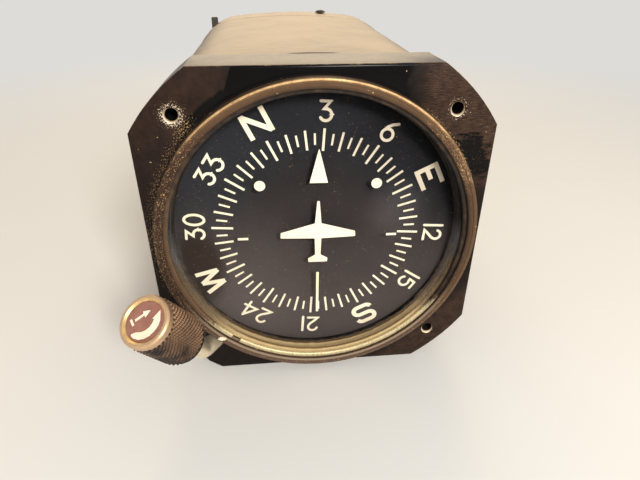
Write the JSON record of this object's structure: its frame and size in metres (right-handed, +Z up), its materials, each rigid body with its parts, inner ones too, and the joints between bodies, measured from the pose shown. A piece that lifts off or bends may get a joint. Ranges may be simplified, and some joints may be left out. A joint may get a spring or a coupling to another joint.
{
  "type": "aircraft directional gyro",
  "caption": "Panel mounted vacuum directional gyro: round dial in a square flange, compass card geared to a gimballed air driven rotor, and a push and turn setting knob at the lower left.",
  "frame": {"origin": "centre of the bottom of the bounding box, level with the flange's lower edge", "axes": "+Z up, the dial faces -Y, the case runs back along +Y, +X is to the right of someone who reads the dial"},
  "size_m": [0.0886, 0.155, 0.0835],
  "materials": {
    "front_paint": "black paint on a casting, worn to bronze brown with bare specks",
    "case_paint": "brown black satin paint that glares tan on top",
    "glass": "clear flat dial glass, slightly dusty",
    "rubber": "black seal rubber",
    "black_anodised": "matte black anodised",
    "aluminium": "plain machined",
    "brass": "plain machined",
    "steel": "plain machined",
    "card_paint": "matte charcoal paint with cream figures",
    "knob_metal": "brown finish on a diamond knurl, rim worn to bright brass",
    "insert": "faded reddish brown with white marks"
  },
  "bodies": {
    "housing": {"front_bezel": "front_paint", "glass": "glass", "glass_gasket": "rubber", "dial_mask": "black_anodised", "retaining_ring": "brass", "case_shell": "case_paint", "rear_cover": "front_paint", "rear_tag": "case_paint", "inlet_fitting": "brass", "vacuum_fitting": "brass", "card_bridge": "aluminium", "card_bearing": "steel", "gimbal_frame": "black_anodised", "upper_bearing": "steel", "lower_bearing": "steel", "air_manifold": "aluminium", "air_tube": "aluminium", "knob_elbow": "aluminium", "flexible_drive": "steel", "setting_bush": "brass", "return_spring": "steel", "bridge_screw_left": "steel", "cover_screw_left": "steel", "case_screw_left_upper": "steel", "frame_screw_left_upper": "steel", "case_screw_left_lower": "steel", "frame_screw_left_lower": "steel", "bridge_screw_right": "steel", "cover_screw_right": "steel", "case_screw_right_upper": "steel", "frame_screw_right_upper": "steel", "case_screw_right_lower": "steel", "frame_screw_right_lower": "steel", "cover_screw_top": "steel"},
    "card": {"compass_card": "card_paint", "card_spindle": "steel", "card_nut": "brass", "card_gear": "brass"},
    "outer_gimbal": {"outer_gimbal": "aluminium", "gimbal_gear": "brass", "setting_gear": "brass", "upper_pivot": "steel", "lower_pivot": "steel", "air_nozzle": "brass", "balance_weight": "brass", "tilt_bearing_front": "steel", "tilt_bearing_rear": "steel"},
    "rotor_frame": {"rotor_frame": "aluminium", "trunnion_front": "steel", "trunnion_rear": "steel", "rotor_bearing_left": "steel", "rotor_bearing_right": "steel"},
    "rotor": {"rotor": "brass", "rotor_shaft": "steel"},
    "knob_spindle": {"knob_spindle": "steel"},
    "knob": {"knob": "knob_metal", "knob_insert": "insert", "knob_set_screw": "steel"},
    "setting_shaft": {"setting_shaft": "steel"},
    "setting_pinion": {"setting_pinion": "steel"}
  },
  "joints": [
    {"name": "knob_push", "type": "slide", "parent": "housing", "child": "knob_spindle", "axis": [0.3151, 0.5111, -0.7997], "range_m": [0, 0.002], "stiffness_N_per_m": 600, "springref_m": -0.004, "deforming": ["return_spring", "flexible_drive"]},
    {"name": "knob_turn", "type": "hinge", "parent": "knob_spindle", "child": "knob", "pos_m": [-0.02957, -0.05796, 0.00984], "axis": [-0.3151, -0.5111, 0.7997], "continuous": true},
    {"name": "setting_slide", "type": "slide", "parent": "housing", "child": "setting_shaft", "axis": [0.56, 0.8285, 0], "range_m": [0, 0.002]},
    {"name": "pinion_turn", "type": "hinge", "parent": "setting_shaft", "child": "setting_pinion", "pos_m": [-0.02957, -0.05796, 0.00984], "axis": [-0.56, -0.8285, 0], "continuous": true},
    {"name": "gimbal_turn", "type": "hinge", "parent": "housing", "child": "outer_gimbal", "pos_m": [0.00186, -0.01146, 0.04127], "axis": [0, 0, 1], "continuous": true},
    {"name": "frame_tilt", "type": "hinge", "parent": "outer_gimbal", "child": "rotor_frame", "pos_m": [0.00186, -0.01146, 0.04127], "axis": [0, 1, 0], "range_deg": [-55, 55]},
    {"name": "rotor_spin", "type": "hinge", "parent": "rotor_frame", "child": "rotor", "pos_m": [0.00186, -0.01146, 0.04127], "axis": [1, 0, 0], "continuous": true},
    {"name": "card_turn", "type": "hinge", "parent": "housing", "child": "card", "pos_m": [0.00186, -0.01146, 0.04127], "axis": [0, 1, 0], "continuous": true}
  ],
  "couplings": [
    {"joint": "setting_slide", "follows": "knob_push", "ratio": 1},
    {"joint": "pinion_turn", "follows": "knob_turn", "ratio": 1},
    {"joint": "card_turn", "follows": "gimbal_turn", "ratio": -1}
  ]
}
